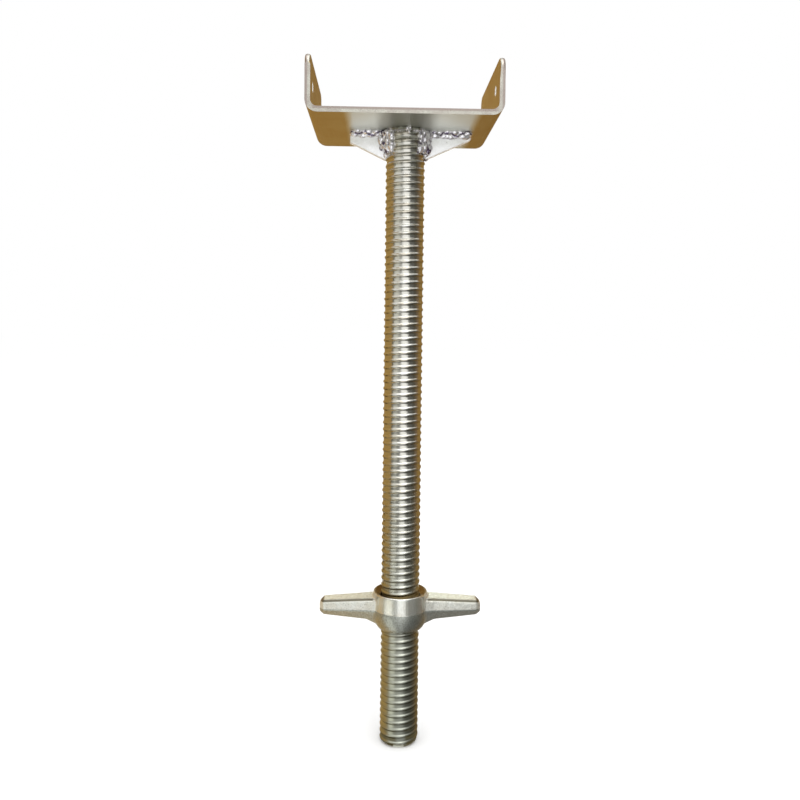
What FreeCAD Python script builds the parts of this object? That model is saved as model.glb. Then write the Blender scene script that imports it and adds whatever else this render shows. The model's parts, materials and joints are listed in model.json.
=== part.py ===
import FreeCAD, Part
import math
import os
import Sketcher

# Driving dimensions of a u-head screw jack, in millimetres
DIMENSIONS = (
    ("plate_width", 177.0, "head plate, outside width across the legs"),
    ("plate_depth", 130.0, "head plate, length along the beam"),
    ("plate_thickness", 5.0, "head plate, sheet thickness"),
    ("leg_height", 52.2, "head plate, underside to the top of a leg"),
    ("bend_radius", 6.0, "head plate, inside radius of the two folds"),
    ("leg_corner", 9.0, "head plate, rounding of the leg's top corners"),
    ("hole_diameter", 8.0, "nail holes in the legs"),
    ("hole_spacing", 78.0, "nail holes, distance along the beam"),
    ("hole_height", 28.7, "nail holes, height above the plate's underside"),
    ("head_offset", 2.8, "how far the plate's middle lies left of the stem"),
    ("stem_diameter", 38.0, "stem, over the thread's crests"),
    ("stem_length", 600.0, "stem, lower end to the plate's underside"),
    ("stem_chamfer", 3.5, "stem, chamfer of the lower end"),
    ("gusset_thickness", 7.0, "gussets, plate thickness"),
    ("left_reach", 53.5, "left gusset, stem axis to its outer edge"),
    ("left_height", 28.0, "left gusset, height at the stem"),
    ("left_edge", 11.5, "left gusset, height of its outer edge"),
    ("right_reach", 62.5, "right gusset, stem axis to its outer edge"),
    ("right_height", 27.0, "right gusset, height at the stem"),
    ("right_edge", 7.5, "right gusset, height of its outer edge"),
    ("plate_bead", 4.0, "weld from gusset to plate, how far it spreads"),
    ("stem_bead", 7.5, "weld from gusset to stem, radius of the bead"),
    ("bead_angle", 26.0, "weld from gusset to stem, degrees round the stem from the gusset"),
    ("stem_bead_drop", 26.0, "weld from gusset to stem, length below the plate"),
    ("bead_end", 4.0, "weld from gusset to stem, taper of the lower end"),
    ("ring_bead", 5.0, "weld from stem to plate, how far it spreads"),
    ("nut_level", 115.5, "nut, height of its underside on the stem"),
    ("nut_height", 35.5, "nut, underside to rim"),
    ("nut_clearance", 0.3, "nut, gap between its bore and the thread's crests"),
    ("bore_chamfer", 1.2, "nut, chamfer at the lower end of the bore"),
    ("mouth_depth", 3.6, "nut, depth of the cone that leads into the bore from above"),
    ("rim_wall", 7.3, "nut, wall at the rim, cone included"),
    ("rim_lip", 1.3, "nut, lip between the cone and the rim's edge"),
    ("band_wall", 8.0, "nut, wall at the foot of its band"),
    ("bowl_height", 19.0, "nut, underside to the foot of the band"),
    ("base_wall", 2.8, "nut, wall at the underside"),
    ("bowl_radius", 24.0, "nut, curve of the bowl below the band"),
    ("wing_span", 158.7, "wings, tip to tip"),
    ("root_inset", 1.2, "wings, how far outside the bore they start"),
    ("web_length", 6.4, "wings, how far the web below them runs past the band"),
    ("root_top", 31.0, "wings, top above the nut's underside at the root"),
    ("tip_top", 28.0, "wings, top above the nut's underside at the tip"),
    ("wing_ridge", 18.0, "wings, height of the ridge along the side"),
    ("root_bottom", 1.0, "wings, foot of the web at the root"),
    ("neck_bottom", 7.4, "wings, underside where the web ends"),
    ("tip_bottom", 12.2, "wings, underside at the tip"),
    ("root_depth", 26.0, "wings, front to back at the root"),
    ("neck_depth", 21.5, "wings, front to back where the web ends"),
    ("tip_depth", 16.0, "wings, front to back at the tip"),
    ("keel_depth", 7.0, "wings, front to back of the underside"),
    ("wing_edge", 1.5, "wings, bevel along their top edges"),
    ("tip_length", 4.0, "wings, length of the bevel round the tip"),
    ("tip_bevel", 3.5, "wings, how far the tip's bevel draws in"),
    ("rim_edge", 0.6, "nut, chamfer of the rim"),
)
SHEET = "sizes"
TOUCH = 1e-6

doc = FreeCAD.newDocument("u_head_jack")
sheet = doc.addObject("Spreadsheet::Sheet", SHEET)
for row, (alias, value, meaning) in enumerate(DIMENSIONS, start=1):
    sheet.set(f"A{row}", meaning)
    sheet.set(f"B{row}", str(value))
    sheet.setAlias(f"B{row}", alias)
doc.recompute()


def size(text):
    """The number that an expression on the sheet gives."""
    return float(sheet.evalExpression(text))


def of_sheet(*names):
    """Expressions for the named cells."""
    return [f"{SHEET}.{name}" for name in names]


def bind(thing, **expressions):
    """Tie properties to the sheet; two underscores stand for a dot."""
    for name, text in expressions.items():
        thing.setExpression(name.replace("__", "."), text)


def new_body(label):
    """An empty body under the sub-part's own name."""
    body = doc.addObject("PartDesign::Body", label)
    body.Label = label
    return body


def plane_of(body, role):
    """One of the body's own origin planes."""
    return next(item for item in body.Origin.OriginFeatures if item.Role == role)


def new_sketch(body, name, role, offset=None):
    """A sketch on one of the body's planes, moved along its normal if asked."""
    sketch = body.newObject("Sketcher::SketchObject", name)
    sketch.AttachmentSupport = [(plane_of(body, role), "")]
    sketch.MapMode = "FlatFace"
    if offset:
        bind(sketch, AttachmentOffset__Base__z=offset)
    return sketch


def fix_point(sketch, edge, end, across, up):
    """Hold a point of an edge at two expressions, measured from the origin."""
    for kind, axis, text in (("DistanceX", -2, across), ("DistanceY", -1, up)):
        value = size(text)
        if abs(value) < TOUCH:
            sketch.addConstraint(Sketcher.Constraint("PointOnObject", edge, end, axis))
            continue
        if value > 0:
            rule = Sketcher.Constraint(kind, -1, 1, edge, end, value)
        else:
            rule = Sketcher.Constraint(kind, edge, end, -1, 1, -value)
            text = f"-({text})"
        number = sketch.addConstraint(rule)
        sketch.setExpression(f"Constraints[{number}]", text)


def outline(sketch, corners, bulges=None):
    """A closed outline, counter-clockwise; bulges gives the radius of edges that are arcs."""
    bulges = bulges or {}
    count = len(corners)
    places = [FreeCAD.Vector(size(x), size(y), 0) for x, y in corners]
    for number, start in enumerate(places):
        stop = places[(number + 1) % count]
        if number not in bulges:
            sketch.addGeometry(Part.LineSegment(start, stop))
            continue
        chord = stop - start
        radius = size(bulges[number])
        rise = radius - math.sqrt(radius ** 2 - (chord.Length / 2) ** 2)
        outward = FreeCAD.Vector(chord.y, -chord.x, 0).normalize()
        sketch.addGeometry(Part.Arc(start, (start + stop) / 2 + outward * rise, stop))
    for number in range(count):
        sketch.addConstraint(Sketcher.Constraint("Coincident", number, 2, (number + 1) % count, 1))
    for number, (across, up) in enumerate(corners):
        fix_point(sketch, number, 1, across, up)
    for number, radius in bulges.items():
        rule = sketch.addConstraint(Sketcher.Constraint("Radius", number, size(radius)))
        sketch.setExpression(f"Constraints[{rule}]", radius)


def pad(body, name, sketch, length):
    """Pad a sketch evenly to both sides of its plane."""
    feature = body.newObject("PartDesign::Pad", name)
    feature.Profile = sketch
    feature.SideType = "Symmetric"
    bind(feature, Length=length)
    doc.recompute()
    return feature


def turn(body, name, sketch):
    """Revolve a sketch about the stem's axis."""
    feature = body.newObject("PartDesign::Revolution", name)
    feature.Profile = sketch
    feature.ReferenceAxis = (sketch, ["V_Axis"])
    feature.Angle = 360
    doc.recompute()
    return feature


def dress(body, kind, name, base, chosen, **expressions):
    """Fillet or chamfer the edges of base that the test picks."""
    names = [f"Edge{n}" for n, edge in enumerate(base.Shape.Edges, start=1) if chosen(edge)]
    if not names:
        raise RuntimeError(f"{name}: no edge found")
    feature = body.newObject(f"PartDesign::{kind}", name)
    feature.Base = (base, names)
    bind(feature, **expressions)
    doc.recompute()
    return feature


def along(edge, axis):
    """Whether a straight edge runs along an axis."""
    if edge.Curve.TypeId != "Part::GeomLine":
        return False
    return abs(abs(edge.Curve.Direction.dot(axis)) - 1) < TOUCH


def near(value, text):
    """Whether a number equals an expression."""
    return abs(value - size(text)) < 1e-3


X_AXIS, Y_AXIS = FreeCAD.Vector(1, 0, 0), FreeCAD.Vector(0, 1, 0)
STEM_RADIUS = f"{SHEET}.stem_diameter / 2"
SIDES = (("left", "-"), ("right", ""))


# Head plate, one sheet folded to a U
def make_plate():
    width, depth, thick, leg = of_sheet("plate_width", "plate_depth", "plate_thickness", "leg_height")
    bend, corner, hole = of_sheet("bend_radius", "leg_corner", "hole_diameter")
    spacing, level = of_sheet("hole_spacing", "hole_height")
    body = new_body("u_plate")
    section = new_sketch(body, "u_section", "XZ_Plane")
    outside, inside = f"{width} / 2", f"{width} / 2 - {thick}"
    outline(section, [
        (f"-{width} / 2", "0"), (outside, "0"), (outside, leg), (inside, leg),
        (inside, thick), (f"-({inside})", thick), (f"-({inside})", leg), (f"-{width} / 2", leg),
    ])
    folded = pad(body, "u_fold", section, depth)

    def inner_fold(edge):
        middle = edge.CenterOfMass
        return along(edge, Y_AXIS) and near(middle.z, thick) and near(abs(middle.x), inside)

    def outer_fold(edge):
        middle = edge.CenterOfMass
        return along(edge, Y_AXIS) and near(middle.z, "0") and near(abs(middle.x), outside)

    def leg_corner(edge):
        middle = edge.CenterOfMass
        return along(edge, X_AXIS) and near(middle.z, leg) and near(abs(middle.y), f"{depth} / 2")

    inner = dress(body, "Fillet", "inner_bends", folded, inner_fold, Radius=bend)
    outer = dress(body, "Fillet", "outer_bends", inner, outer_fold, Radius=f"{bend} + {thick}")
    corners = dress(body, "Fillet", "leg_corners", outer, leg_corner, Radius=corner)

    marks = new_sketch(body, "nail_hole_marks", "YZ_Plane")
    for number, side in enumerate(("", "-")):
        across = f"{side}{spacing} / 2"
        centre = FreeCAD.Vector(size(across), size(level), 0)
        marks.addGeometry(Part.Circle(centre, FreeCAD.Vector(0, 0, 1), size(f"{hole} / 2")))
        fix_point(marks, number, 3, across, level)
        rule = marks.addConstraint(Sketcher.Constraint("Diameter", number, size(hole)))
        marks.setExpression(f"Constraints[{rule}]", hole)
    holes = body.newObject("PartDesign::Pocket", "nail_holes")
    holes.Profile = marks
    holes.SideType = "Symmetric"
    holes.Type = "ThroughAll"
    doc.recompute()
    if holes.Shape.Volume > corners.Shape.Volume - TOUCH:
        raise RuntimeError("the nail holes cut nothing")
    bind(body, Placement__Base__x=f"-{SHEET}.head_offset", Placement__Base__z=f"{SHEET}.stem_length")
    return body


# Stem, turned bar with a chamfered lower end
def make_stem():
    length, chamfer = of_sheet("stem_length", "stem_chamfer")
    body = new_body("stem")
    half = new_sketch(body, "stem_half", "XZ_Plane")
    outline(half, [
        ("0", "0"), (f"{STEM_RADIUS} - {chamfer}", "0"), (STEM_RADIUS, chamfer),
        (STEM_RADIUS, length), ("0", length),
    ])
    turn(body, "stem_bar", half)
    return body


# Gussets, flat plates between the stem and the head plate
def make_gusset(side, sign):
    reach, height, edge = of_sheet(f"{side}_reach", f"{side}_height", f"{side}_edge")
    body = new_body(f"gusset_{side}")
    face = new_sketch(body, f"gusset_{side}_face", "XZ_Plane")
    outline(face, [
        (f"{sign}{STEM_RADIUS}", f"-{height}"), (f"{sign}{reach}", f"-{edge}"),
        (f"{sign}{reach}", "0"), (f"{sign}{STEM_RADIUS}", "0"),
    ])
    pad(body, f"gusset_{side}_pad", face, f"{SHEET}.gusset_thickness")
    bind(body, Placement__Base__z=f"{SHEET}.stem_length")
    return body


def solid(kind, name, **expressions):
    """A Part primitive whose sizes and place come from the sheet."""
    thing = doc.addObject(f"Part::{kind}", name)
    bind(thing, **expressions)
    return thing


def fuse(name, shapes):
    """Several shapes as one."""
    joined = doc.addObject("Part::MultiFuse", name)
    joined.Shapes = shapes
    return joined


def cut(label, base, tool):
    """What is left of base outside tool."""
    rest = doc.addObject("Part::Cut", label)
    rest.Base = base
    rest.Tool = tool
    rest.Label = label
    return rest


def make_blocks():
    """The stem, the plate and the gussets as plain blocks that the weld metal flows round."""
    thick, top = of_sheet("gusset_thickness", "stem_length")
    width, depth = of_sheet("plate_width", "plate_depth")
    left, right = of_sheet("left_reach", "right_reach")
    core = solid("Cylinder", "stem_block", Radius=STEM_RADIUS, Height=top)
    plate = solid(
        "Box", "plate_block", Length=width, Width=depth, Height=f"{SHEET}.leg_height",
        Placement__Base__x=f"-{width} / 2", Placement__Base__y=f"-{depth} / 2", Placement__Base__z=top,
    )
    web = solid(
        "Box", "gusset_block", Length=f"{left} + {right}", Width=thick, Height=top,
        Placement__Base__x=f"-{left}", Placement__Base__y=f"-{thick} / 2",
    )
    return [core, plate, web]


# Weld metal along the corner between a gusset and the head plate
def weld_run(side, sign):
    run = solid(
        "Cylinder", f"weld_{side}_run", Height=f"{SHEET}.{side}_reach",
        Radius=f"{SHEET}.gusset_thickness / 2 + {SHEET}.plate_bead",
    )
    run.Placement.Rotation = FreeCAD.Rotation(Y_AXIS, 90 if sign == "" else -90)
    bind(run, Placement__Base__z=f"{SHEET}.stem_length")
    return run


# Weld metal down both corners between a gusset and the stem
def weld_posts(side, sign):
    top, bead, angle = of_sheet("stem_length", "stem_bead", "bead_angle")
    drop, end = of_sheet("stem_bead_drop", "bead_end")
    posts = []
    for face, before in (("front", "-"), ("back", "")):
        post = solid(
            "Cylinder", f"weld_{side}_{face}", Radius=bead, Height=drop,
            Placement__Base__x=f"{sign}{STEM_RADIUS} * cos({angle})",
            Placement__Base__y=f"{before}{STEM_RADIUS} * sin({angle})",
            Placement__Base__z=f"{top} - {drop}",
        )
        doc.recompute()
        foot = [n for n, edge in enumerate(post.Shape.Edges, start=1)
                if edge.Closed and near(edge.CenterOfMass.z, f"{top} - {drop}")]
        tapered = doc.addObject("Part::Chamfer", f"weld_{side}_{face}_foot")
        tapered.Base = post
        tapered.Edges = [(n, size(end), size(end)) for n in foot]
        posts.append(tapered)
    return posts


# Weld beads, what the metal fills outside the pieces that it joins
def make_welds():
    blocks = make_blocks()
    joined = fuse("joined_blocks", blocks)
    metal, welds = [], []
    for side, sign in SIDES:
        posts = weld_posts(side, sign)
        run = weld_run(side, sign)
        welds.append(cut(f"stem_bead_{side}", fuse(f"weld_{side}_posts", posts), joined))
        welds.append(cut(f"plate_bead_{side}", run, fuse(f"weld_{side}_stops", blocks + posts)))
        metal += posts + [run]
    ring = solid(
        "Cone", "weld_ring", Radius1=STEM_RADIUS, Radius2=f"{STEM_RADIUS} + {SHEET}.ring_bead",
        Height=f"{SHEET}.ring_bead", Placement__Base__z=f"{SHEET}.stem_length - {SHEET}.ring_bead",
    )
    welds.append(cut("stem_weld", ring, fuse("weld_ring_stops", blocks + metal)))
    return welds


# Wing nut, one casting: a bored bowl with a band and two tapered wings
def make_nut():
    height, bowl, span = of_sheet("nut_height", "bowl_height", "wing_span")
    lip, mouth = of_sheet("rim_lip", "mouth_depth")
    bore = f"({STEM_RADIUS} + {SHEET}.nut_clearance)"
    rim, band, base = [f"({bore} + {wall})" for wall in of_sheet("rim_wall", "band_wall", "base_wall")]
    body = new_body("wing_nut")
    half = new_sketch(body, "nut_half", "XZ_Plane")
    outline(
        half,
        [
            (bore, "0"), (base, "0"), (band, bowl), (rim, height),
            (f"{rim} - {lip}", height), (bore, f"{height} - {mouth}"),
        ],
        {1: f"{SHEET}.bowl_radius"},
    )
    turned = turn(body, "nut_body", half)

    keel, ridge, high, low = of_sheet("keel_depth", "wing_ridge", "root_top", "tip_top")
    edge, taper, bevel = of_sheet("wing_edge", "tip_length", "tip_bevel")
    root = f"({bore} + {SHEET}.root_inset)"
    neck = f"({band} + {SHEET}.web_length)"
    tip = f"({span} / 2 - {taper})"
    neck_top = f"({high} - ({high} - {low}) * ({neck} - {root}) / ({tip} - {root}))"
    stations = [(name, *of_sheet(f"{name}_depth", f"{name}_bottom")) for name in ("root", "neck", "tip")]
    stations = [
        (*station, place, top)
        for station, place, top in zip(stations, (root, neck, tip), (high, neck_top, low))
    ]
    stations.append((
        "end", f"({SHEET}.tip_depth - 2 * {bevel})", f"({SHEET}.tip_bottom + {bevel})",
        f"({span} / 2)", f"({low} - {bevel})",
    ))
    sections = []
    for name, deep, bottom, place, top in stations:
        section = new_sketch(body, f"wing_{name}", "YZ_Plane", place)
        outline(section, [
            (f"-{keel} / 2", bottom), (f"{keel} / 2", bottom), (f"{deep} / 2", ridge),
            (f"{deep} / 2", f"{top} - {edge}"), (f"{deep} / 2 - {edge}", top),
            (f"-{deep} / 2 + {edge}", top), (f"-{deep} / 2", f"{top} - {edge}"), (f"-{deep} / 2", ridge),
        ])
        sections.append(section)
    wing = body.newObject("PartDesign::AdditiveLoft", "wing")
    wing.Profile = sections[0]
    wing.Sections = sections[1:]
    wing.Ruled = True
    doc.recompute()
    pair = body.newObject("PartDesign::Mirrored", "wing_pair")
    pair.Originals = [wing]
    pair.MirrorPlane = (plane_of(body, "YZ_Plane"), [""])
    body.Tip = pair
    doc.recompute()
    if pair.Shape.Volume < turned.Shape.Volume + TOUCH:
        raise RuntimeError("the wings added nothing")

    def bore_foot(edge):
        return edge.Closed and near(edge.Length, f"2 * pi * {bore}") and near(edge.CenterOfMass.z, "0")

    def rim_circle(edge):
        return edge.Closed and near(edge.Length, f"2 * pi * {rim}")

    topped = dress(body, "Chamfer", "nut_rim", pair, rim_circle, Size=f"{SHEET}.rim_edge")
    dress(body, "Chamfer", "bore_lead", topped, bore_foot, Size=f"{SHEET}.bore_chamfer")
    bind(body, Placement__Base__z=f"{SHEET}.nut_level")
    return body


subparts = [make_plate(), make_stem()]
subparts += [make_gusset(side, sign) for side, sign in SIDES]
subparts += make_welds()
subparts.append(make_nut())
doc.recompute()

for item in doc.Objects:
    if "Invalid" in item.State or "Error" in item.State:
        raise RuntimeError(f"{item.Label} failed: {item.State}")
os.makedirs("parts", exist_ok=True)
for item in subparts:
    if item.Shape.isNull() or not item.Shape.isValid():
        raise RuntimeError(f"{item.Label} has no valid shape")
    item.Shape.exportStep(f"parts/{item.Label}.step")
    print(item.Label, len(item.Shape.Solids), "solids", round(item.Shape.Volume / 1000, 2), "cm3")
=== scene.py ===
"""U-head jack: a threaded stem with a welded, folded head and a cast wing nut, in a plain studio."""
import json
import math
import random
from collections import namedtuple

import bmesh
import bpy
from bpy.props import FloatProperty, FloatVectorProperty, IntProperty, PointerProperty
from bpy.types import Operator, Panel, PropertyGroup
from mathutils import Matrix, Vector


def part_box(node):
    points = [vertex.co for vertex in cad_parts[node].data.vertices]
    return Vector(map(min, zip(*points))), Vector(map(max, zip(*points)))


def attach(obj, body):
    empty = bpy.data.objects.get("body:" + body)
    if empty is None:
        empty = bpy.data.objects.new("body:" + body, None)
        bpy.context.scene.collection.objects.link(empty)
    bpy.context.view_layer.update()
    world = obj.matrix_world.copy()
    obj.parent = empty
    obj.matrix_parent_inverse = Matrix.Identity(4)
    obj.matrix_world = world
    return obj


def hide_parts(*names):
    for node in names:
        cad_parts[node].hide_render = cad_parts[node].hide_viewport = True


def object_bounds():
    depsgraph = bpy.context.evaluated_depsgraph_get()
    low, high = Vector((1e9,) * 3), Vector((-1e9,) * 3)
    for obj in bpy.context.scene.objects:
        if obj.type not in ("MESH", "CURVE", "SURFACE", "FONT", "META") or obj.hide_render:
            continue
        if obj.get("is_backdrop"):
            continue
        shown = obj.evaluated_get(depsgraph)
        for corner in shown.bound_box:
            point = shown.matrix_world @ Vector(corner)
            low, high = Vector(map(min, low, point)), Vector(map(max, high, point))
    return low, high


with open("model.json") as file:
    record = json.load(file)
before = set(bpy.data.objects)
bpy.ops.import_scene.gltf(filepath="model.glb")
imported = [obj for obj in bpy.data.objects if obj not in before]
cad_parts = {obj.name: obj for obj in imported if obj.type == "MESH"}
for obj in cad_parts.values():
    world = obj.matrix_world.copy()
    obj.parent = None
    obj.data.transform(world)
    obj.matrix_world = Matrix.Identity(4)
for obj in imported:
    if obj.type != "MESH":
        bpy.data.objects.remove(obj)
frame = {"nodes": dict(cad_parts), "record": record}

bl_info = {
    "name": "U-head jack",
    "version": (1, 0, 0),
    "blender": (4, 5, 0),
    "location": "3D View > Sidebar > Jack",
    "description": "Models the zinc plated u-head jack round its packed frame and sets up its studio",
    "category": "Object",
}

CAD_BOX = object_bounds()
MM = 0.001
# Distance below which two vertices are merged
DOUBLES = 0.001 * MM
# Ways along x and y
SIDES = {"left": -1, "right": 1}
FACES = {"front": -1, "back": 1}
# Frame: boxes of the solids that the pieces are modelled round, in metres
STEM_LOW, STEM_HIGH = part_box("stem")
PLATE_LOW, PLATE_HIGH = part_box("u_plate")
NUT_LOW, NUT_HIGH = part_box("wing_nut")
CREST_RADIUS = (STEM_HIGH.x - STEM_LOW.x) / 2
MOUNTS = {mount["name"]: mount for mount in frame["record"]["mounts"]}


def length(name, default, description):
    """A length in metres that the sidebar shows in scene units."""
    return FloatProperty(name=name, description=description, default=default, unit="LENGTH", precision=5)


def number(name, default, description, subtype="NONE"):
    """A share, an angle, a power or a focal length."""
    return FloatProperty(name=name, description=description, default=default, subtype=subtype)


def whole(name, default, description):
    """A whole number."""
    return IntProperty(name=name, description=description, default=default)


def colour(name, default, description):
    """A linear colour."""
    return FloatVectorProperty(
        name=name, description=description, default=default, size=3, min=0, max=1, subtype="COLOR"
    )


class StemSizes(PropertyGroup):
    """Sizes of the rolled thread."""

    pitch: length("Pitch", 6.7 * MM, "Rise of the thread in one turn")
    depth: length("Thread depth", 0.95 * MM, "From the crest to the bottom of the hollow")
    crest: length("Crest", 0.9 * MM, "Height of the thread's crest")
    flank: length("Flank", 1.4 * MM, "Height of each flank, rounded at both ends")
    dish: number("Dish", 0.12, "Share of the depth in the hollow's dish")
    chamfer: length("End chamfer", 3.5 * MM, "Chamfer of the lower end")
    worn_low: length("Worn below", 60 * MM, "Height below which the zinc is quite dull")
    worn_high: length("Worn up to", 300 * MM, "Height above which the zinc is bright")
    # The next two place the painted shade line along the thread's lower flanks
    shade_turn: number("Grime place", 0.83, "Middle of the grime line, in turns above the crest")
    shade_width: number("Grime width", 0.26, "Width of the grime line, in turns")
    points: whole("Points", 16, "Points of the outline in one pitch")
    steps: whole("Steps", 48, "Steps of the sweep in one turn")


class HeadSizes(PropertyGroup):
    """Sizes of the folded head."""

    sheet: length("Sheet", 5 * MM, "Thickness of the sheet")
    bend: length("Bend", 6 * MM, "Inside radius of the two bends")
    corner: length("Leg corner", 9 * MM, "Radius of the legs' upper corners")
    edge: length("Edge", 0.9 * MM, "Rounding of the sheared edges")
    tip: length("Leg tip", 1.9 * MM, "Rounding of the edges round the legs' tops")
    bend_steps: whole("Bend steps", 10, "Faces round each bend")


class GussetSizes(PropertyGroup):
    """Sizes of the two gussets that their boxes don't give."""

    left_edge: length("Left edge", 11.5 * MM, "Height of the left gusset's outer edge")
    right_edge: length("Right edge", 7.5 * MM, "Height of the right gusset's outer edge")
    edge: length("Edge", 0.7 * MM, "Rounding of the cut edges")


class WeldSizes(PropertyGroup):
    """Sizes of the weld metal's lumps."""

    plate_lump: length("Plate lump", 3.3 * MM, "Radius of a lump between gusset and head")
    stem_lump: length("Stem lump", 3.0 * MM, "Radius of a lump between gusset and stem")
    ring_lump: length("Ring lump", 2.0 * MM, "Radius of a lump between stem and head")
    drip: length("Drip", 1.7 * MM, "Radius of the drip that ran down the stem")
    drip_x: length("Drip place", 2.4 * MM, "Place of the drip across the stem")
    voxel: length("Voxel", 0.35 * MM, "Detail of the melted bead")
    spread: number("Spread", 0.4, "Share by which the lumps differ")
    seed: whole("Seed", 7, "Draw of the lumps' sizes and places")


class NutSizes(PropertyGroup):
    """Sizes of the casting's surface."""

    voxel: length("Voxel", 0.5 * MM, "Detail of the casting")
    rounding: whole("Rounding", 14, "Passes that round the cast edges")
    turning: whole("Turning", 2, "Passes that smooth the turned faces")
    seam_drop: length("Seam drop", 1.5 * MM, "Mould seam below the wings' top faces")
    seam_width: length("Seam width", 1.6 * MM, "Height of the mould seam")
    seam_depth: length("Seam depth", 1.1 * MM, "Depth of the mould seam")
    root_top: length("Root top", 31 * MM, "Wings' top at the bowl, above the nut's underside")
    tip_top: length("Tip top", 28 * MM, "Wings' top at the tip, above the nut's underside")
    root_x: length("Root", 27 * MM, "Where the wings leave the bowl")
    root_depth: length("Root depth", 22.5 * MM, "Wings' depth where they leave the bowl")
    tip_depth: length("Tip depth", 16 * MM, "Wings' depth at the tip")
    seam_x: length("Seam root", 24.6 * MM, "Where the mould seam runs out into the band")
    blend_x: length("Blend", 21.5 * MM, "Where the band starts to blend into the wings")
    mouth: length("Mouth", 25.3 * MM, "Radius of the cone that leads into the bore")
    band_foot: length("Band foot", 19 * MM, "Turned band's foot, above the nut's underside")
    pit: length("Pit", 2.2 * MM, "Size of the sand pits")
    pit_depth: length("Pit depth", 0.25 * MM, "Depth of the sand pits")


class Finishes(PropertyGroup):
    """Colours of the zinc plating, linear, with some painted shade, shadow, reflection and highlight."""

    stem: colour("Stem", (0.74, 0.74, 0.70), "Zinc on the rolled thread")
    # Painted shade: the hollow colour darkens the thread's hollows
    hollow: colour("Hollow", (0.64, 0.63, 0.58), "Zinc at the bottom of the thread")
    worn: colour("Worn end", (0.46, 0.48, 0.41), "Dulled zinc on the end that goes into a tube")
    plate: colour("Plate", (0.585, 0.47, 0.25), "Zinc on the head's faces")
    plate_stain: colour("Plate stain", (0.52, 0.375, 0.155), "Yellower patches on the head")
    plate_streak: colour("Plate streak", (0.75, 0.70, 0.58), "Paler rolling streaks on the head")
    # Painted reflection of the gussets on the head's underside between them
    plate_gusset_reflection: colour("Plate heat", (0.58, 0.59, 0.53), "Zinc dulled by the welding heat")
    # Painted: the stem's dark reflection on the head's underside, and the shadow under the head on the
    # welds round the stem
    stem_reflection_and_shadow: colour("Plate burn", (0.20, 0.20, 0.16), "Zinc burnt round the stem")
    cut: colour("Cut edge", (0.52, 0.51, 0.45), "Zinc on the sheared edges")
    # Darker strip along the sheared edges: the legs' outer side and the base's upper side
    cut_dark: colour("Cut stain", (0.32, 0.265, 0.24), "Torn part of the sheared edges")
    gusset: colour("Gusset", (0.93, 0.94, 0.95), "Zinc on the gussets")
    weld: colour("Weld", (0.95, 0.94, 0.97), "Zinc on the weld metal")
    weld_burn: colour("Weld burn", (0.12, 0.09, 0.15), "Burnt patches of the weld metal")
    nut: colour("Nut", (0.86, 0.87, 0.81), "Zinc on the casting")
    # Darker zinc below the nut's band: partly the rough casting, partly painted shade on its downward faces
    nut_rough_and_shade: colour("Nut rough", (0.54, 0.57, 0.53), "Zinc on the casting's rough lower faces")
    # Oily zinc and painted shade in the nut's mouth
    nut_mouth_oil_and_shade: colour("Nut mouth", (0.26, 0.185, 0.085), "Oily zinc in the nut's mouth")
    # Dirt in the casting's pits and grain and on the gussets' specks, a darker mould seam, and painted
    # shade along the thread's lower flanks and round the nut's lower edge
    grime_and_shade: colour("Grime", (0.16, 0.15, 0.11), "Grime in the thread, the casting's pits and its seam")


class StudioSettings(PropertyGroup):
    """Camera, lamps and floor."""

    camera: FloatVectorProperty(
        name="Camera",
        description="Place of the camera",
        default=(-0.0227, -0.7464, 0.4134),
        subtype="TRANSLATION",
    )
    yaw: number("Yaw", 0.0265, "Turn towards +X", "ANGLE")
    pitch: number("Pitch", -0.0455, "Tilt above the horizon", "ANGLE")
    roll: number("Roll", 0.0118, "Roll about the view", "ANGLE")
    lens: number("Lens", 34.37, "Focal length on a 36 mm sensor", "DISTANCE_CAMERA")
    shift: number("Shift", -0.05, "Vertical shift of the picture")
    floor_size: length("Floor", 40, "Side of the floor")
    fade: length("Fade", 0.75, "Distance from the stem at which the cards have their full light")
    front_lamp: number("Front lamp", 6, "Power of the front lamp", "POWER")
    top_lamp: number("Top lamp", 14, "Power of the top lamp", "POWER")


def activate(piece):
    """Make a piece the only one selected."""
    bpy.ops.object.select_all(action="DESELECT")
    piece.select_set(True)
    bpy.context.view_layer.objects.active = piece


def rename(piece, name):
    """Give a piece and its mesh one name."""
    piece.name = name
    piece.data.name = name
    return piece


def start(add, name, **settings):
    """Start a piece as a primitive, the only one selected."""
    bpy.ops.object.select_all(action="DESELECT")
    add(**settings)
    return rename(bpy.context.object, name)


def edit(piece):
    """Open a piece in edit mode with all of it selected."""
    activate(piece)
    bpy.ops.object.mode_set(mode="EDIT")
    bpy.ops.mesh.select_all(action="SELECT")


def leave_edit():
    """Close edit mode."""
    bpy.ops.object.mode_set(mode="OBJECT")


def pick(kind, test):
    """Select the vertices, edges or faces of the mesh in edit mode that pass a test."""
    bpy.ops.mesh.select_mode(type=kind)
    bpy.ops.mesh.select_all(action="DESELECT")
    mesh = bmesh.from_edit_mesh(bpy.context.edit_object.data)
    parts = {"VERT": mesh.verts, "EDGE": mesh.edges, "FACE": mesh.faces}[kind]
    chosen = [part for part in parts if test(part)]
    if not chosen:
        raise RuntimeError(f"nothing to select on {bpy.context.edit_object.name}")
    for part in chosen:
        part.select_set(True)
    bmesh.update_edit_mesh(bpy.context.edit_object.data)


def pick_corners(test):
    """Select the vertices whose place passes a test."""
    pick("VERT", lambda corner: test(corner.co))


def pick_edges(test):
    """Select the edges whose two ends pass a test."""
    pick("EDGE", lambda edge: all(test(corner.co) for corner in edge.verts))


def near(value, target):
    """Whether two lengths agree to a hundredth of a millimetre."""
    return abs(value - target) < 0.01 * MM


def shift(step):
    """Move what is selected."""
    bpy.ops.transform.translate(value=step)


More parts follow.
